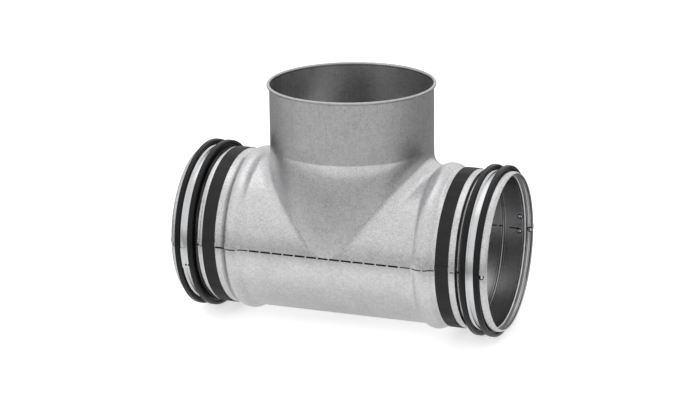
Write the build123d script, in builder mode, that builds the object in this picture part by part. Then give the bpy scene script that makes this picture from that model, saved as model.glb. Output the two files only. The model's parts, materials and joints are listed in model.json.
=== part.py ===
import os
from math import asin, cos, radians, sin, sqrt

from build123d import *

# Pressed sheet-steel duct tee of nominal bore 100 mm. X runs along the through duct, +Z up
# the branch, and the origin is where their axes cross. Radii are outside the sheet unless
# named otherwise, and angles round the duct are from the front (-Y) towards the top.

# Sheet and through duct
sheet = 0.5
run_radius = 49.6

# Branch: a collar with a rolled rim on an oval saddle that fades out at the lap seam. The
# collar takes the spigot of a fitting of the duct's own size.
collar_clearance = 1.15
collar_rise = 50.6
rim_roll_radius = 1.0
rim_curl_gap = 0.35
crease_rise = 10.7
shoulder_drop = 7.3
shoulder_swell = 1.65
saddle_foot_rise = 0.6
saddle_foot_drop = 18.0
saddle_steps = 5
crotch_radius = 8.0

# Stop bead, rolled outwards, that the mating duct butts against
bead_to_collar = 11.05
bead_height = 2.45
bead_half_width = 5.6
bead_root_radius = 2.5

# Spigot: from the bead to the mouth, with a gasket recess rolled inwards, and an end ring
# whose nose is rolled over for easy entry
spigot_length = 41.5
recess_length = 14.8
recess_depth = 1.8
recess_corner_radius = 0.7
end_ring_length = 4.8
end_ring_height = 0.2
nose_radius = 2.6
nose_length = 2.0

# Lap seam: the upper shell's edge is joggled out over the lower shell's edge
lap_edge_height = 0.4
lap_strip_height = 2.4
lap_overlap = 2.3
lap_gap = 0.03
least_weld_pitch = 7.6
weld_break = 1.3
weld_height = 0.7

# Gasket: one rubber ring with a flat base and two mushroom lips
gasket_start_gap = 1.8
gasket_end_gap = 0.4
gasket_base = 1.2
last_lip_to_recess_end = 0.85
lip_spacing = 8.6
lip_stand = 3.75
lip_head_width = 3.6
lip_head_height = 2.1
lip_head_corner = 0.9
lip_neck_width = 1.0
lip_neck_offset = 0.2

# Steel strap that holds the gasket down, dished so that its edges stand clear of the rubber,
# its end spot-welded over its start
strap_side_gap = 0.4
strap_thickness = 0.6
strap_dish = 0.3
strap_lap_arc = 16.0
strap_lap_angles = {"left": -3.2, "right": 158.0}
spot_radius = 0.8
spot_depth = 0.15
spot_spacing = 2.2
spot_inset_arc = 2.6

# Dark marker band round each spigot, and the share of the free room there that lies between
# the stop bead and the band
band_width = 8.4
band_shares = {"left": 0.79, "right": 0.345}
band_thickness = 0.35
seat_clearance = 0.03

# Worked out from the sizes above
collar_radius = run_radius + sheet + collar_clearance
collar_top = run_radius + collar_rise
crease_height = run_radius + crease_rise
shoulder_height = crease_height - shoulder_drop
bead_position = collar_radius + bead_to_collar
run_half_length = bead_position + spigot_length
bead_arc_radius = (bead_half_width**2 + bead_height**2) / (2 * bead_height)
bead_arc_center = run_radius + bead_height - bead_arc_radius
recess_end = run_half_length - end_ring_length
recess_start = recess_end - recess_length
recess_floor_radius = run_radius - recess_depth
end_ring_radius = run_radius + end_ring_height
nose_start = run_half_length - nose_length
nose_center_radius = end_ring_radius - nose_radius
tip_radius = nose_center_radius + sqrt(nose_radius**2 - nose_length**2)
mouth_radius = tip_radius - sheet
lap_top = lap_edge_height + lap_strip_height
rim_center_radius = collar_radius - sheet + rim_roll_radius
rim_center_height = collar_top - rim_roll_radius
gasket_start = recess_start + gasket_start_gap
gasket_end = recess_end - gasket_end_gap
gasket_seat_radius = recess_floor_radius + seat_clearance
gasket_base_radius = gasket_seat_radius + gasket_base
strap_inner_radius = gasket_base_radius + seat_clearance
strap_lap_radius = strap_inner_radius + 2 * strap_thickness
lip_crest_radius = run_radius + lip_stand
lip_neck_height = lip_crest_radius - lip_head_height + lip_head_corner - gasket_base_radius
last_lip_position = recess_end - last_lip_to_recess_end
lip_positions = [last_lip_position - lip_spacing, last_lip_position]
neck_centers = [position - lip_neck_offset for position in lip_positions]
strap_center = (neck_centers[0] + neck_centers[1]) / 2
strap_width = lip_spacing - lip_neck_width - 2 * strap_side_gap
plain_start = bead_position + bead_half_width + bead_root_radius / 2
plain_end = recess_start - recess_corner_radius
band_room = plain_end - plain_start - band_width
band_starts = {side: plain_start + share * band_room for side, share in band_shares.items()}
box_size = 4 * run_half_length
sides = {"left": -1, "right": 1}


def radial_plane(angle):
    """Plane through the X axis whose local y points outwards at this angle from the front."""
    turn = radians(angle)
    return Plane(origin=(0, 0, 0), x_dir=(1, 0, 0), z_dir=(0, -sin(turn), -cos(turn)))


def near(points, *targets):
    """The vertices that lie at the given x, y places of their sketch."""
    found = ShapeList()
    for x, y in targets:
        found += ShapeList([v for v in points if abs(v.X - x) + abs(v.Y - y) < 0.01])
    return found


def run_section(inset):
    """Half section of the through duct, from its axis to its skin moved inwards by inset."""
    radius = run_radius - inset
    bead_arc = bead_arc_radius - inset
    bead_half = sqrt(bead_arc**2 - (radius - bead_arc_center) ** 2)
    bead_roots = [(bead_position - bead_half, radius), (bead_position + bead_half, radius)]
    floor = recess_floor_radius - inset
    ring = end_ring_radius - inset
    nose = nose_radius - inset
    end = run_half_length - max(inset, 0)
    nose_end = (end, nose_center_radius + sqrt(nose**2 - (end - nose_start) ** 2))
    nose_turn = asin((end - nose_start) / nose) / 2
    nose_middle = (nose_start + nose * sin(nose_turn), nose_center_radius + nose * cos(nose_turn))
    shoulders = [(recess_start - inset, radius), (recess_end + inset, ring)]
    floor_corners = [(recess_start - inset, floor), (recess_end + inset, floor)]
    with BuildSketch(Plane.XZ) as section:
        with BuildLine():
            Polyline((0, 0), (0, radius), bead_roots[0])
            ThreePointArc(bead_roots[0], (bead_position, bead_arc_center + bead_arc), bead_roots[1])
            Polyline(bead_roots[1], shoulders[0], floor_corners[0], floor_corners[1], shoulders[1],
                     (nose_start, ring))
            ThreePointArc((nose_start, ring), nose_middle, nose_end)
            Polyline(nose_end, (end, 0), (0, 0))
        make_face()
        fillet(near(section.vertices(), *bead_roots), bead_root_radius + inset)
        fillet(near(section.vertices(), *shoulders), recess_corner_radius - inset)
        fillet(near(section.vertices(), *floor_corners), recess_corner_radius + inset)
        mirror(about=Plane.YZ)
    return section.sketch


def run_solid(inset):
    """The through duct as a solid bar, its skin moved inwards by inset."""
    with BuildPart() as bar:
        revolve(run_section(inset), axis=Axis.X)
    return bar.part


def saddle_solid(inset):
    """Through duct and branch joined by the oval saddle and its crotch fillet, as a solid."""
    tube_radius = run_radius - inset
    foot_depth = run_radius + saddle_foot_rise
    slope = (collar_radius + shoulder_swell - foot_depth) / shoulder_height
    step = (crease_height + saddle_foot_drop) / saddle_steps
    with BuildPart() as branch:
        for height in [step * count - saddle_foot_drop for count in range(saddle_steps)]:
            with BuildSketch(Plane.XY.offset(height)):
                Ellipse(collar_radius - inset, foot_depth + slope * height - inset)
        with BuildSketch(Plane.XY.offset(crease_height)):
            Circle(collar_radius - inset)
        loft()
    with BuildPart() as saddle:
        with BuildSketch(Plane(origin=(0, 0, 0), x_dir=(0, 0, -1), z_dir=(1, 0, 0))):
            Circle(tube_radius)
        extrude(amount=bead_position, both=True)
        add(branch.part)
        valleys = [edge for edge in saddle.edges() if is_valley(edge, tube_radius)]
        fillet(valleys, crotch_radius + inset)
        with BuildSketch(Plane.XY.offset(crease_height)):
            Circle(collar_radius - inset)
        extrude(amount=rim_center_height - crease_height)
    return saddle.part


def is_valley(edge, radius):
    """True for the edges where the branch runs up over the duct."""
    points = [edge @ t for t in (0.2, 0.5, 0.8)]
    on_duct = all(abs(sqrt(p.Y**2 + p.Z**2) - radius) < 0.01 for p in points)
    return on_duct and abs(points[0].X) < bead_position - 0.01 and edge.bounding_box().size.Z > 1


def slab(low, high):
    """A block across the whole duct between two heights."""
    with BuildPart() as block:
        with BuildSketch(Plane.XY.offset(low)):
            Rectangle(box_size, box_size)
        extrude(amount=high - low)
    return block.part


def strap_section(plane, middle, radius):
    """Section of a strap on this plane, its inner face at this radius along its middle."""
    ends = [middle - strap_width / 2, middle + strap_width / 2]
    inner_edge = radius + strap_dish
    outer_edge = inner_edge + strap_thickness
    with BuildSketch(plane) as section:
        with BuildLine():
            ThreePointArc((ends[0], inner_edge), (middle, radius), (ends[1], inner_edge))
            Line((ends[1], inner_edge), (ends[1], outer_edge))
            ThreePointArc((ends[1], outer_edge), (middle, radius + strap_thickness),
                          (ends[0], outer_edge))
            Line((ends[0], outer_edge), (ends[0], inner_edge))
        make_face()
    return section.sketch


def lap_bulge(outset):
    """The duct's skin moved outwards, at the height of the two lap strips."""
    with BuildPart() as bulge:
        add(run_solid(-outset))
        add(slab(lap_edge_height, lap_top + sheet), mode=Mode.INTERSECT)
    return bulge.part


run_core = run_solid(0)
seam_skin = run_solid(-sheet)

# The air way through the duct, open at both mouths
with BuildPart() as run_cavity:
    add(run_solid(sheet))
    for sign in sides.values():
        with BuildSketch(Plane.YZ.offset(sign * run_half_length)):
            Circle(mouth_radius)
        extrude(amount=-sign * sheet)

# The same air way with the branch's added
with BuildPart() as tee_cavity:
    add(run_cavity.part)
    add(saddle_solid(sheet))

# Room for the lower shell's edge under the laps
with BuildPart() as lower_edge_room:
    add(run_solid(-lap_gap))
    add(slab(-sheet, lap_top), mode=Mode.INTERSECT)

# Upper shell: half the duct with the collar drawn out of it, pressed from one sheet
with BuildPart() as upper_shell:
    add(run_core)
    add(saddle_solid(0))
    split(bisect_by=Plane.XY.offset(lap_edge_height))
    add(lap_bulge(sheet))
    add(tee_cavity.part, mode=Mode.SUBTRACT)
    add(lower_edge_room.part, mode=Mode.SUBTRACT)
    with BuildSketch(Plane.XZ):
        with Locations((rim_center_radius, rim_center_height)):
            Circle(rim_roll_radius)
            Circle(rim_roll_radius - sheet, mode=Mode.SUBTRACT)
        with Locations((collar_radius, rim_center_height)):
            Rectangle(rim_curl_gap, rim_roll_radius, align=(Align.MIN, Align.MAX), mode=Mode.SUBTRACT)
    revolve(axis=Axis.Z)
upper_shell.part.label = "upper_shell"

# Lower shell: the other half, its plain edge tucked behind the laps
with BuildPart() as lower_shell:
    add(run_core)
    split(bisect_by=Plane.XY.offset(lap_edge_height + lap_overlap), keep=Keep.BOTTOM)
    add(run_cavity.part, mode=Mode.SUBTRACT)
lower_shell.part.label = "lower_shell"

finished = [upper_shell.part, lower_shell.part]

# Stitch welds along the lap edges, evenly spaced from one marker band to the other
weld_middle = (band_starts["right"] - band_starts["left"]) / 2
weld_room = sum(band_starts.values())
weld_count = int(weld_room / least_weld_pitch)
weld_pitch = weld_room / weld_count
for name, y_sign in {"front": -1, "back": 1}.items():
    with BuildPart() as seam_welds:
        with BuildSketch(Plane.XY.offset(lap_edge_height)):
            with Locations((weld_middle, y_sign * box_size / 2)):
                with GridLocations(weld_pitch, 0, weld_count, 1):
                    Rectangle(weld_pitch - weld_break, box_size)
        extrude(amount=-weld_height)
        add(seam_skin, mode=Mode.INTERSECT)
        add(run_core, mode=Mode.SUBTRACT)
    seam_welds.part.label = f"seam_welds_{name}"
    finished.append(seam_welds.part)

for side, sign in sides.items():
    # Gasket, cut away where it beds down over the two laps
    with BuildPart() as gasket:
        with BuildSketch(Plane.XZ):
            with Locations((gasket_start, gasket_seat_radius)):
                base = Rectangle(gasket_end - gasket_start, gasket_base, align=(Align.MIN, Align.MIN))
            fillet(base.vertices().group_by(Axis.Y)[0], recess_corner_radius)
            for lip, neck in zip(lip_positions, neck_centers):
                with Locations((lip, lip_crest_radius)):
                    RectangleRounded(lip_head_width, lip_head_height, lip_head_corner,
                                     align=(Align.CENTER, Align.MAX))
                with Locations((neck, gasket_base_radius)):
                    Rectangle(lip_neck_width, lip_neck_height, align=(Align.CENTER, Align.MIN))
            if sign < 0:
                mirror(about=Plane.YZ, mode=Mode.REPLACE)
        revolve(axis=Axis.X)
        add(lap_bulge(sheet + seat_clearance), mode=Mode.SUBTRACT)
    gasket.part.label = f"gasket_{side}"
    finished.append(gasket.part)

    # Strap: a ring with its outer end lapped over itself, and two spot welds near that end
    lap_angle = strap_lap_angles[side]
    spot_plane = radial_plane(lap_angle - strap_lap_arc + spot_inset_arc)
    spot_face = Plane(origin=spot_plane.y_dir * strap_lap_radius, z_dir=spot_plane.y_dir,
                      x_dir=(1, 0, 0))
    middle = sign * strap_center
    with BuildPart() as strap:
        revolve(strap_section(Plane.XZ, middle, strap_inner_radius), axis=Axis.X)
        lapped_end = strap_section(radial_plane(lap_angle), middle, strap_inner_radius + strap_thickness)
        revolve(lapped_end, axis=Axis.X, revolution_arc=strap_lap_arc)
        with BuildSketch(spot_face):
            with Locations((middle, 0)):
                with GridLocations(spot_spacing, 0, 2, 1):
                    Circle(spot_radius)
        extrude(amount=-spot_depth, mode=Mode.SUBTRACT)
    strap.part.label = f"strap_{side}"
    finished.append(strap.part)

    # Marker band, bulged where it passes over the two laps
    band_plane = Plane.YZ.offset(sign * (band_starts[side] + band_width / 2) - band_width / 2)
    with BuildPart() as band:
        for outset, mode in [(band_thickness + seat_clearance, Mode.ADD), (seat_clearance, Mode.SUBTRACT)]:
            with BuildSketch(band_plane):
                Circle(run_radius + outset)
            extrude(amount=band_width, mode=mode)
            with BuildSketch(band_plane):
                Circle(run_radius + sheet + outset)
                with Locations((0, (lap_edge_height + lap_top + sheet) / 2)):
                    Rectangle(box_size, lap_strip_height + sheet + 2 * outset, mode=Mode.INTERSECT)
            extrude(amount=band_width, mode=mode)
    band.part.label = f"marker_band_{side}"
    finished.append(band.part)

os.makedirs("parts", exist_ok=True)
for piece in finished:
    export_step(piece, f"parts/{piece.label}.step")
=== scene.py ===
import json
from math import cos, radians, sin

import bmesh
import bpy
from mathutils import Matrix, Quaternion, Vector


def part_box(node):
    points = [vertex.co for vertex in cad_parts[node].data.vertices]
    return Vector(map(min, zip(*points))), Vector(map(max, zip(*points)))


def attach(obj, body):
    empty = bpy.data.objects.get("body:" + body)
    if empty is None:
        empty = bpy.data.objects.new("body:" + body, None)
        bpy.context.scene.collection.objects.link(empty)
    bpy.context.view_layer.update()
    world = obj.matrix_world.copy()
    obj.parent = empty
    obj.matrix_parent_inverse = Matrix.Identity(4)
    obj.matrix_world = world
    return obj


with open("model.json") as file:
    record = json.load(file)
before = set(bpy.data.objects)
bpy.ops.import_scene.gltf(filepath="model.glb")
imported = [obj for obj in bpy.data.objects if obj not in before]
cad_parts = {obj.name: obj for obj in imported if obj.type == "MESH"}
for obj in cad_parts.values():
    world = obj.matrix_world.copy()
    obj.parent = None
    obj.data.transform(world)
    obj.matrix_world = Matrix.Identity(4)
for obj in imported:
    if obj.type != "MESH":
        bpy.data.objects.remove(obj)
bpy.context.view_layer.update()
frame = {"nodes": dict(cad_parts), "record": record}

# Sizes in metres, as the solids have them. The duct lies along X, its branch stands up along Z,
# and both ends are alike, so a place along the duct is given by its distance from the middle.
run_radius = 0.0496
sheet = 0.0005
half_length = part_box("upper_shell")[1][0]
crease_height = 0.0603
rim_start = 0.0975
rim_end = 0.0995
bead_foot = 0.0550
bead_middle = 0.0623
bead_crease = 0.0683
bead_end = 0.0696
spigot_start = 0.0690
recess_start = 0.0842
recess_end = 0.0990
recess_radius = 0.0478
gasket_foot_edge = 0.0876
strap_middle = 0.09365
strap_half_width = 0.0034
strap_lap_radius = 0.05026
lap_edge = 0.0004
weld_pitch = 0.007634
weld_break = 0.0013
weld_length = weld_pitch - weld_break
weld_middle = -0.001324

# Sizes of what is added here: how deep the seam's dark dashes and the outside tack sit in the
# sheet, and the room under the duct
weld_bite = 0.0001
floor_gap = 0.0004
floor_height = min(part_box("gasket_left")[0][2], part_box("gasket_right")[0][2]) - floor_gap


# ---------------------------------------------------------------- shader nodes

def fill(tree, node, inputs):
    """A node's inputs, each linked to another node or set to a plain value."""
    for name, value in inputs.items():
        if isinstance(value, bpy.types.NodeSocket):
            tree.links.new(value, node.inputs[name])
        else:
            node.inputs[name].default_value = value


def put(tree, kind, inputs=None, **settings):
    """A shader node with its settings made and its inputs filled."""
    node = tree.nodes.new(kind)
    for name, value in settings.items():
        setattr(node, name, value)
    fill(tree, node, inputs or {})
    return node


def new_finish(name, constants):
    """A material, its node tree and its shader, with what is the same all over it set."""
    finish = bpy.data.materials.new(name)
    finish.use_nodes = True
    shader = finish.node_tree.nodes["Principled BSDF"]
    fill(finish.node_tree, shader, constants)
    return finish, finish.node_tree, shader


def place_and_axes(tree):
    """The place on the piece, and its x, y and z."""
    place = put(tree, "ShaderNodeTexCoord").outputs["Object"]
    return place, put(tree, "ShaderNodeSeparateXYZ", {0: place}).outputs


def calculate(tree, operation, first, second=0.0):
    """One step of arithmetic on values."""
    return put(tree, "ShaderNodeMath", {0: first, 1: second}, operation=operation).outputs[0]


def total(tree, first, *others):
    """Values added together."""
    for other in others:
        first = calculate(tree, "ADD", first, other)
    return first


def product(tree, first, *others):
    """Values multiplied together."""
    for other in others:
        first = calculate(tree, "MULTIPLY", first, other)
    return first


def size_of(tree, value):
    """A value without its sign."""
    return calculate(tree, "ABSOLUTE", value)


def distance(tree, value, middle):
    """How far a value is from a middle, on either side."""
    return size_of(tree, calculate(tree, "SUBTRACT", value, middle))


def swing(tree, pattern):
    """A pattern's rise and fall about its middle."""
    return calculate(tree, "SUBTRACT", pattern, 0.5)


def spread(tree, value, old, new):
    """A value moved from one range to another, and held inside it."""
    return put(tree, "ShaderNodeMapRange",
               {"Value": value, "From Min": old[0], "From Max": old[1],
                "To Min": new[0], "To Max": new[1]}).outputs[0]


def stretched(tree, vector, scale):
    """A place scaled along each axis."""
    return put(tree, "ShaderNodeMapping", {"Vector": vector, "Scale": scale}).outputs[0]


def noise(tree, vector, scale, detail=2.0, roughness=0.5):
    """A cloudy pattern; the larger the scale, the finer it is."""
    return put(tree, "ShaderNodeTexNoise",
               {"Vector": vector, "Scale": scale, "Detail": detail,
                "Roughness": roughness}).outputs[0]


def streaks(tree, place, scale, detail=2.0, roughness=0.5):
    """Noise drawn out along the axes with the smaller scales."""
    return noise(tree, stretched(tree, place, scale), 1.0, detail, roughness)


def blend(tree, amount, low, high):
    """A colour between two others."""
    return put(tree, "ShaderNodeMix", {0: amount, 6: (*low, 1), 7: (*high, 1)},
               data_type="RGBA").outputs[2]


def blend_values(tree, amount, low, high):
    """A value between two others."""
    return put(tree, "ShaderNodeMix", {0: amount, 2: low, 3: high}, data_type="FLOAT").outputs[0]


def levels(tree, value, stops):
    """Grey levels along a value, as (value, level) pairs."""
    ramp = put(tree, "ShaderNodeValToRGB", {0: value})
    elements = ramp.color_ramp.elements
    elements.remove(elements[1])
    elements[0].position = stops[0][0]
    for place, _ in stops[1:]:
        elements.new(place)
    for stop, (_, level) in zip(elements, stops):
        stop.color = (level, level, level, 1)
    return ramp.outputs[0]


def vectors(tree, operation, first, second=(0, 0, 0)):
    """The outputs of one step of arithmetic on vectors."""
    return put(tree, "ShaderNodeVectorMath", {0: first, 1: second}, operation=operation).outputs


def relief(tree, height, depth, strength=1.0, normal=None):
    """The surface's direction, or another one, with a height pattern worked into it."""
    bump = put(tree, "ShaderNodeBump", {"Strength": strength, "Distance": depth, "Height": height})
    if normal is not None:
        tree.links.new(normal, bump.inputs["Normal"])
    return bump.outputs[0]


def rays(tree, *kinds):
    """1 for a ray of any of these kinds."""
    light_path = put(tree, "ShaderNodeLightPath")
    found = light_path.outputs[kinds[0]]
    for kind in kinds[1:]:
        found = calculate(tree, "MAXIMUM", found, light_path.outputs[kind])
    return found


# ---------------------------------------------------------------- finishes

def faces_out(tree, place, around):
    """1 where the surface looks away from an axis, 0 where it looks towards it."""
    normal = put(tree, "ShaderNodeNewGeometry").outputs["Normal"]
    from_axis = vectors(tree, "MULTIPLY", place, around)[0]
    turned = vectors(tree, "DOT_PRODUCT", normal, from_axis)["Value"]
    edge_on = -0.0005
    return calculate(tree, "GREATER_THAN", turned, edge_on)


def inner_painted_light(tree, outward, z):
    """The duct's wall inside, in painted light and shade: darker than outside, lighter low down and
    most so at each stop bead, where light through the branch falls, with painted highlights and
    shade on the recess steps."""
    rib_reach = 0.005
    rib_half_width = 0.0027
    to_rib = calculate(tree, "MINIMUM", distance(tree, outward, recess_start),
                       distance(tree, outward, recess_end))
    # Bright and dark lines on the recess steps: painted highlights and painted shade.
    rib_light_and_shade = levels(tree, product(tree, to_rib, 1 / rib_reach),
                  [(0.1, 1.0), (0.16, 0.1), (0.24, 0.1), (0.3, 0.85), (0.38, 0.85), (0.46, 0.2),
                   (0.6, 1.0)])
    # Painted shade on the wall inside, lighter downwards: painted light falling in through the
    # branch.
    wall = spread(tree, z, (0.02, -0.035), (0.38, 0.66))
    # Painted light low down at each stop bead, where the branch lets light in.
    bead_painted_light = spread(tree, distance(tree, outward, bead_middle), (0.006, 0.02), (0.8, 0))
    low_down = spread(tree, z, (-0.005, -0.025), (0, 1))
    wall = total(tree, wall, product(tree, bead_painted_light, low_down))
    return blend_values(tree, calculate(tree, "GREATER_THAN", to_rib, rib_half_width), rib_light_and_shade, wall)


def outer_painted_shade(tree, x, outward):
    """The duct's wall outside: clean, with a line of painted shade where each stop bead meets its
    spigot, and the left one darker."""
    # How dark the painted crease shade gets: darker towards the left.
    crease_shade_level = spread(tree, x, (-0.06, 0.06), (0.4, 0.9))
    return spread(tree, distance(tree, outward, bead_crease), (0.0004, 0.0019), (crease_shade_level, 1))


def branch_painted_shade(tree, place, z):
    """The branch: clean, with painted shade a little darker inside and on the rim, and a dark
    line of painted shade under the rim.
    """
    # A dark line of painted shade under the rim, and the rim a little darker.
    rim = levels(tree, spread(tree, z, (rim_start, rim_end), (0, 1)),
                 [(0.2, 1.0), (0.35, 0.45), (0.5, 0.45), (0.65, 0.7)])
    # Painted shade: the inside of the branch a little darker.
    return product(tree, rim, spread(tree, faces_out(tree, place, (1, 1, 0)), (0, 1), (0.9, 1)))


def painted_light_and_shade(tree, place, axes):
    """Painted light and shade: 1 on clean sheet, less in the creases and on the walls inside."""
    x, z = axes[0], axes[2]
    outward = size_of(tree, x)
    branch_start = crease_height - 0.012
    run_painted_light = blend_values(tree, faces_out(tree, place, (0, 1, 1)), inner_painted_light(tree, outward, z),
                            outer_painted_shade(tree, x, outward))
    on_branch = calculate(tree, "GREATER_THAN", z, branch_start)
    return blend_values(tree, on_branch, run_painted_light, branch_painted_shade(tree, place, z))


def worked_normal(tree, place, axes):
    """The surface's direction. On the shoulder under the crease it leans up in a crescent, and
    down at the left. In the gap inward of each gasket it leans to the right."""
    x, z = axes[0], axes[2]
    crescent_middle = 0.018
    crescent_half_width = 0.029
    crescent_depth = 0.0088
    crescent_lean = 0.08
    left_lean = -0.15
    gap_middle = 0.0847
    gap_lean = 0.45

    off_middle = calculate(tree, "SUBTRACT", x, crescent_middle)
    across = calculate(tree, "DIVIDE", off_middle, crescent_half_width)
    bowed = calculate(tree, "SUBTRACT", 1.0, calculate(tree, "POWER", across, 2.0))
    deep = product(tree, bowed, crescent_depth)
    foot = calculate(tree, "SUBTRACT", crease_height, deep)
    above_foot = calculate(tree, "SUBTRACT", z, foot)
    crescent = spread(tree, above_foot, (0, 0.003), (0, crescent_lean))
    left_side = product(tree, spread(tree, x, (-0.036, -0.01), (left_lean, 0)),
                        spread(tree, z, (0.048, 0.055), (0, 1)))
    below_crease = spread(tree, z, (crease_height - 0.001, crease_height + 0.0003), (1, 0))
    lean_up = product(tree, total(tree, crescent, left_side), below_crease)

    off_gap = distance(tree, size_of(tree, x), gap_middle)
    lean_over = product(tree, spread(tree, off_gap, (0.0013, 0.0016), (gap_lean, 0)),
                        faces_out(tree, place, (0, 1, 1)))

    lean = put(tree, "ShaderNodeCombineXYZ", {0: lean_over, 2: lean_up}).outputs[0]
    normal = put(tree, "ShaderNodeNewGeometry").outputs["Normal"]
    return vectors(tree, "NORMALIZE", vectors(tree, "ADD", normal, lean)[0])[0]


def galvanised_sheet():
    """Zinc-coated sheet with fine grain, drawn lines on the collar and rolled ones at the ends."""
    finish, tree, shader = new_finish("galvanised_sheet", {"Metallic": 1.0})
    place, axes = place_and_axes(tree)
    z = axes[2]
    outward = size_of(tree, axes[0])
    grain = noise(tree, place, 1700, detail=3.0, roughness=0.65)
    flakes = put(tree, "ShaderNodeTexVoronoi", {"Vector": place, "Scale": 800}).outputs["Color"]
    flake_tone = put(tree, "ShaderNodeSeparateColor", {0: flakes}).outputs[0]
    clouds = noise(tree, place, 55, detail=4.0, roughness=0.6)
    drawn = streaks(tree, place, (1300, 1300, 30))
    rolled = streaks(tree, place, (2600, 14, 14))
    on_collar = spread(tree, z, (crease_height - 0.004, crease_height + 0.003), (0, 1))
    on_spigot = spread(tree, outward, (bead_foot, spigot_start), (0, 1))
    lines = total(tree, product(tree, swing(tree, drawn), on_collar),
                  product(tree, swing(tree, rolled), on_spigot))
    over_seam = spread(tree, z, (-0.002, 0.004), (0.3, 2.0))
    under_crease = spread(tree, z, (crease_height - 0.002, crease_height + 0.004), (1, 0.35))
    coarseness = product(tree, over_seam, under_crease)
    tone = total(tree, product(tree, swing(tree, grain), 0.2, coarseness),
                 product(tree, grain, 0.55), product(tree, flake_tone, 0.12),
                 product(tree, clouds, 0.22), product(tree, lines, 0.14))
    # Base brightness: the grain and cloudy tone, times painted shade in the creases, under the rim
    # and inside, and painted light low down inside.
    brightness = product(tree, spread(tree, tone, (0.2, 0.7), (0.45, 1)), painted_light_and_shade(tree, place, axes))
    height = product(tree, total(tree, product(tree, grain, 0.8), product(tree, lines, 0.2)),
                     coarseness)
    end_crown = spread(tree, outward, (recess_end, half_length), (0, -30))
    fill(tree, shader, {
        "Base Color": blend(tree, brightness, (0.1, 0.1, 0.102), (0.8, 0.8, 0.81)),
        "Roughness": spread(tree, tone, (0.2, 0.7), (0.26, 0.36)),
        "Normal": relief(tree, total(tree, height, end_crown), depth=0.00005,
                         normal=worked_normal(tree, place, axes))})
    return finish


def strap_steel():
    """Bright rolled strip with fine lines running round it and rounded edges."""
    finish, tree, shader = new_finish("strap_steel", {"Metallic": 1.0})
    place, axes = place_and_axes(tree)
    lines = streaks(tree, place, (4500, 22, 22), detail=3.0)
    smears = noise(tree, place, 90, detail=3.0)
    off_middle = distance(tree, size_of(tree, axes[0]), strap_middle)
    edges = spread(tree, off_middle, (strap_half_width / 2, strap_half_width), (0, 30))
    fill(tree, shader, {
        "Base Color": blend(tree, lines, (0.5, 0.51, 0.52), (0.74, 0.75, 0.76)),
        "Roughness": spread(tree, smears, (0.3, 0.7), (0.18, 0.28)),
        "Normal": relief(tree, total(tree, product(tree, lines, 0.7), edges), depth=0.00003)})
    return finish


def gasket_rubber():
    """Smooth black moulded rubber with faint flow marks and talc dust, most on its foot, where the
    lighter streaks are also painted sheen.
    """
    finish, tree, shader = new_finish("gasket_rubber", {"Specular IOR Level": 0.25})
    place, axes = place_and_axes(tree)
    dust = noise(tree, place, 900, detail=3.0, roughness=0.7)
    flow = streaks(tree, place, (900, 60, 60), detail=3.0)
    on_foot = spread(tree, size_of(tree, axes[0]), (gasket_foot_edge, gasket_foot_edge - 0.0006),
                     (0, 1))
    # Lighter grey: talc all over, and on the foot streaks that are partly talc, partly painted
    # sheen on rubber in shade.
    dust_and_sheen = total(tree, spread(tree, dust, (0.45, 0.8), (0, 0.12)),
                   product(tree, on_foot, spread(tree, flow, (0.4, 0.62), (0.05, 1))))
    fill(tree, shader, {
        "Base Color": blend(tree, dust_and_sheen, (0.003, 0.003, 0.0033), (0.1, 0.1, 0.098)),
        "Roughness": spread(tree, flow, (0.3, 0.7), (0.3, 0.48)),
        "Normal": relief(tree, flow, depth=0.00005, strength=0.12)})
    return finish


def band_film():
    """Matte dark film with a soft weave of fibres and slight creases."""
    finish, tree, shader = new_finish("band_film", {"Specular IOR Level": 0.25})
    place, _ = place_and_axes(tree)
    fibres = streaks(tree, place, (900, 500, 500), detail=4.0, roughness=0.7)
    creases = streaks(tree, place, (40, 160, 160), detail=3.0)
    weave = total(tree, product(tree, fibres, 0.4), creases)
    fill(tree, shader, {
        "Base Color": blend(tree, fibres, (0.012, 0.012, 0.0125), (0.028, 0.028, 0.0285)),
        "Roughness": spread(tree, creases, (0.3, 0.7), (0.52, 0.72)),
        "Normal": relief(tree, weave, depth=0.0001, strength=0.2)})
    return finish


def weld_metal():
    """Heat-darkened weld metal, near black; on the dashes along the seam it is painted shadow."""
    finish, tree, shader = new_finish("weld_metal", {"Roughness": 0.7, "Specular IOR Level": 0.1})
    place, _ = place_and_axes(tree)
    ripples = noise(tree, place, 2400)
    fill(tree, shader, {
        "Base Color": blend(tree, ripples, (0.003, 0.003, 0.003), (0.02, 0.018, 0.016)),
        "Normal": relief(tree, ripples, depth=0.0001, strength=0.4)})
    return finish


finishes = {"galvanised_sheet": galvanised_sheet(), "strap_steel": strap_steel(),
            "gasket_rubber": gasket_rubber(), "band_film": band_film(), "weld_metal": weld_metal()}

for subpart in frame["record"]["subparts"]:
    slots = frame["nodes"][subpart["node"]].data.materials
    slots.clear()
    slots.append(finishes[subpart["material_slot"]])


# ---------------------------------------------------------------- weld marks, and dashes of painted shadow along the seam

def inner_radius(x):
    """Radius of the duct's wall inside, at this distance from the middle."""
    if recess_start < abs(x) < recess_end:
        return recess_radius - sheet
    return run_radius - sheet


def add_piece(name, mesh_data, slot):
    """A finished piece, its place in its mesh, that goes with the duct."""
    mesh = bpy.data.meshes.new(name)
    bmesh.ops.recalc_face_normals(mesh_data, faces=mesh_data.faces)
    mesh_data.to_mesh(mesh)
    mesh_data.free()
    mesh.materials.append(finishes[slot])
    piece = bpy.data.objects.new(name, mesh)
    bpy.context.collection.objects.link(piece)
    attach(piece, "root")


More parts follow.
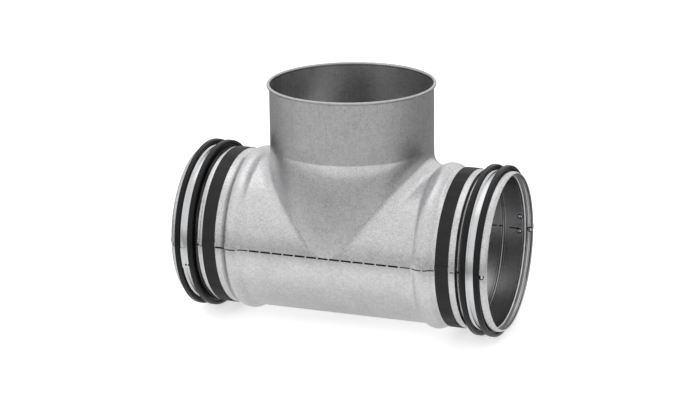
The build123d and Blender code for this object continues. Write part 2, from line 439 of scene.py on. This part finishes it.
def add_dash(mesh_data, y_sign, ends, radii, heights):
    """A straight mark along the seam: where it ends, how far from the axis it is, how high."""
    spans = (sorted(ends), sorted(y_sign * radius for radius in radii), heights)
    low, high = (Vector(corner) for corner in zip(*spans))
    place = Matrix.Translation((low + high) / 2) @ Matrix.Diagonal((*(high - low), 1))
    bmesh.ops.create_cube(mesh_data, size=1, matrix=place)


def add_nugget(mesh_data, center, radius, flatness):
    """A round weld nugget that bulges towards and away from the duct's axis."""
    outward = Vector((0, center[1], center[2]))
    turn = outward.to_track_quat("Z", "X").to_matrix().to_4x4()
    squash = Matrix.Diagonal((radius, radius, radius * flatness, 1))
    place = Matrix.Translation(center) @ turn @ squash
    bmesh.ops.create_uvsphere(mesh_data, u_segments=24, v_segments=12, radius=1, matrix=place)


def dash_ends(middle):
    """Where one dash along the seam starts and ends."""
    return middle - weld_length / 2, middle + weld_length / 2


def add_inner_gap_shadows(side_name, y_sign):
    """Dark dashes inside along the lap, but not at either stop bead: painted shadow of the
    gap at the inner sheet's edge.
    """
    inner_shadows_each_way = 13
    bead_room = 0.0065
    proud = 0.00015
    bite = 0.00005
    # Painted shadow of the lap's gap, seen from inside.
    inner_shadow_mesh = bmesh.new()
    for step in range(-inner_shadows_each_way, inner_shadows_each_way + 1):
        middle = step * weld_pitch
        if abs(abs(middle) - bead_middle) > bead_room:
            wall = inner_radius(middle)
            add_dash(inner_shadow_mesh, y_sign, dash_ends(middle), radii=(wall - proud, wall + bite),
                     heights=(-0.0003, 0.0005))
    add_piece(f"inside_gap_shadows_{side_name}", inner_shadow_mesh, "weld_metal")


def add_gap_shadow_dashes(side_name, y_sign):
    """Near-black dashes a little proud of the lap's edge, clear of each stop bead: painted
    shadow of the lap's open gap.
    """
    gap_shadows_each_way = 9
    past_bead = bead_end - 0.003
    proud = 0.00065
    # Painted shadow: the dark dashes stand where the lap's edge is open between welds.
    gap_shadow_mesh = bmesh.new()
    for step in range(-gap_shadows_each_way, gap_shadows_each_way + 1):
        ends = dash_ends(weld_middle + step * weld_pitch)
        if max(map(abs, ends)) < bead_foot or min(map(abs, ends)) > past_bead:
            add_dash(gap_shadow_mesh, y_sign, ends, radii=(run_radius - weld_bite, run_radius + proud),
                     heights=(-0.0005, 0.0006))
    bmesh.ops.bevel(gap_shadow_mesh, geom=gap_shadow_mesh.edges[:], offset=0.0001, segments=2, profile=0.5,
                    affect="EDGES", material=-1)
    add_piece(f"seam_gap_shadows_{side_name}", gap_shadow_mesh, "weld_metal")


def add_end_gap_shadows(side_name, y_sign):
    """A dark dash of painted shadow, the lap's open gap, on the lap between each marker band and
    the gasket beside it.
    """
    end_dash_start = 0.0808
    end_dash_end = 0.0833
    proud = 0.0003
    # Painted shadow of the lap's open gap, past each marker band.
    end_shadow_mesh = bmesh.new()
    for x_sign in (-1, 1):
        add_dash(end_shadow_mesh, y_sign, (x_sign * end_dash_start, x_sign * end_dash_end),
                 radii=(run_radius - weld_bite, run_radius + proud), heights=(-0.0003, lap_edge))
    add_piece(f"seam_end_shadows_{side_name}", end_shadow_mesh, "weld_metal")


def add_nuggets():
    """Tack welds that hold the two shells together at each mouth, each in its scorched ring: one
    outside in front, three inside at the back."""
    nugget_radius = 0.0013
    scorch_radius = 0.0018
    outside_tack = (0.1006, -run_radius - weld_bite, -0.0008)
    inside_tacks = ((0.0957, 0.0083), (0.0949, -0.0015), (0.1016, -0.0005))
    nuggets = bmesh.new()
    scorches = bmesh.new()
    for x_sign in (-1, 1):
        places = [(x_sign * outside_tack[0], *outside_tack[1:])]
        for x, height in inside_tacks:
            places.append((x_sign * x, (inner_radius(x) ** 2 - height ** 2) ** 0.5, height))
        for place in places:
            add_nugget(nuggets, place, nugget_radius, flatness=0.6)
            add_nugget(scorches, place, scorch_radius, flatness=0.16)
    add_piece("tack_nuggets", nuggets, "strap_steel")
    add_piece("tack_scorches", scorches, "weld_metal")


def add_spot_welds():
    """Heat-marked spot welds at the lapped end of each strap, two side by side."""
    half_gap = 0.0011
    spot_radius = 0.0008
    spots = bmesh.new()
    for x_sign, angle in ((-1, radians(-16.6)), (1, radians(144.6))):
        for offset in (-half_gap, half_gap):
            center = (x_sign * strap_middle + offset, -strap_lap_radius * cos(angle),
                      strap_lap_radius * sin(angle))
            add_nugget(spots, center, spot_radius, flatness=0.12)
    add_piece("spot_welds", spots, "weld_metal")


for side_name, y_sign in (("front", -1), ("back", 1)):
    add_inner_gap_shadows(side_name, y_sign)
    add_gap_shadow_dashes(side_name, y_sign)
    add_end_gap_shadows(side_name, y_sign)
add_nuggets()
add_spot_welds()


# ---------------------------------------------------------------- studio

def floor_finish():
    """Pale mat that shows white, with the shadow on it. Metal sees a glow on it instead: bright
    beside the duct, dim further away, and brighter in front than behind."""
    finish, tree, shader = new_finish("pale_mat", {
        "Base Color": (0.86, 0.86, 0.86, 1), "Roughness": 0.9, "Specular IOR Level": 0.1})
    place, axes = place_and_axes(tree)
    away = vectors(tree, "LENGTH", stretched(tree, place, (0.6, 1, 1)))["Value"]
    glow = levels(tree, away, [(0.05, 0.62), (0.1, 1.0), (0.145, 0.95), (0.24, 0.28), (0.42, 0.45)])
    glow_light = put(tree, "ShaderNodeEmission", {
        "Color": glow, "Strength": spread(tree, axes[1], (-0.4, 0.4), (1.37, 0.63))})
    lift = put(tree, "ShaderNodeEmission", {"Strength": 0.6})
    white_mat = put(tree, "ShaderNodeAddShader", {0: lift.outputs[0], 1: shader.outputs[0]})
    unseen = put(tree, "ShaderNodeMixShader", {
        0: rays(tree, "Is Glossy Ray"), 1: shader.outputs[0], 2: glow_light.outputs[0]})
    shown = put(tree, "ShaderNodeMixShader", {
        0: rays(tree, "Is Camera Ray", "Is Transmission Ray"), 1: unseen.outputs[0],
        2: white_mat.outputs[0]})
    fill(tree, tree.nodes["Material Output"], {"Surface": shown.outputs[0]})
    return finish


def add_floor():
    """The mat, wider than the view, just under the gaskets."""
    mesh = bpy.data.meshes.new("mat")
    mat_mesh = bmesh.new()
    bmesh.ops.create_grid(mat_mesh, x_segments=1, y_segments=1, size=6)
    bmesh.ops.translate(mat_mesh, verts=mat_mesh.verts, vec=(0, 0, floor_height))
    mat_mesh.to_mesh(mesh)
    mat_mesh.free()
    mesh.materials.append(floor_finish())
    mat = bpy.data.objects.new("mat", mesh)
    bpy.context.collection.objects.link(mat)


def light_room():
    """A room that is white to the camera and to metal. Rubber, film and the mat are lit by a
    graded one: dimmer overhead and near the floor, darker right and behind, brighter far left."""
    world = bpy.data.worlds.new("studio")
    bpy.context.scene.world = world
    world.use_nodes = True
    tree = world.node_tree
    tree.nodes.clear()
    direction = put(tree, "ShaderNodeTexCoord").outputs["Generated"]
    axes = put(tree, "ShaderNodeSeparateXYZ", {0: direction}).outputs
    by_height = levels(tree, axes[2], [(0.0, 0.75), (0.06, 1.1), (0.25, 1.3), (0.6, 1.3),
                                       (0.85, 0.75), (1.0, 0.7)])
    right_flag = spread(tree, axes[0], (0.35, 0.8), (1.0, 0.2))
    left_card = spread(tree, axes[0], (-0.9, -0.5), (1.4, 1.0))
    back_flag = spread(tree, axes[1], (-0.1, 0.7), (1.0, 0.55))
    graded = put(tree, "ShaderNodeBackground", {
        "Color": by_height, "Strength": product(tree, right_flag, left_card, back_flag)})
    white = put(tree, "ShaderNodeBackground", {"Color": (1, 1, 1, 1), "Strength": 1.0})
    shown = put(tree, "ShaderNodeMixShader", {
        0: rays(tree, "Is Camera Ray", "Is Glossy Ray", "Is Transmission Ray"),
        1: graded.outputs[0], 2: white.outputs[0]})
    put(tree, "ShaderNodeOutputWorld", {"Surface": shown.outputs[0]})


def add_lamp(name, place, aim, size, power):
    """A square soft lamp that points at its aim."""
    lamp = bpy.data.lights.new(name, "AREA")
    lamp.size = size
    lamp.energy = power
    holder = bpy.data.objects.new(name, lamp)
    holder.location = place
    holder.rotation_mode = "QUATERNION"
    holder.rotation_quaternion = (Vector(aim) - Vector(place)).to_track_quat("-Z", "Y")
    bpy.context.collection.objects.link(holder)


def place_camera(azimuth, elevation, standoff, aim, roll, lens):
    """The camera stands on the line of sight through the origin and looks at a point near it."""
    back = Vector((sin(azimuth) * cos(elevation), -cos(azimuth) * cos(elevation), sin(elevation)))
    data = bpy.data.cameras.new("camera")
    data.lens = lens
    data.sensor_width = 36
    camera = bpy.data.objects.new("camera", data)
    camera.location = back * standoff
    look = (Vector(aim) - camera.location).to_track_quat("-Z", "Y")
    camera.rotation_mode = "QUATERNION"
    camera.rotation_quaternion = look @ Quaternion((0, 0, 1), roll)
    bpy.context.collection.objects.link(camera)
    bpy.context.scene.camera = camera


add_floor()
light_room()
add_lamp("overhead", place=(-0.15, 0.1, 0.9), aim=(0, 0, 0), size=0.9, power=1.2)
place_camera(azimuth=radians(20.933), elevation=radians(17.822), standoff=1.51,
             aim=(-0.00406, 0.00547, 0.0215), roll=radians(-0.727), lens=122.86)
bpy.context.scene.view_settings.view_transform = "Standard"
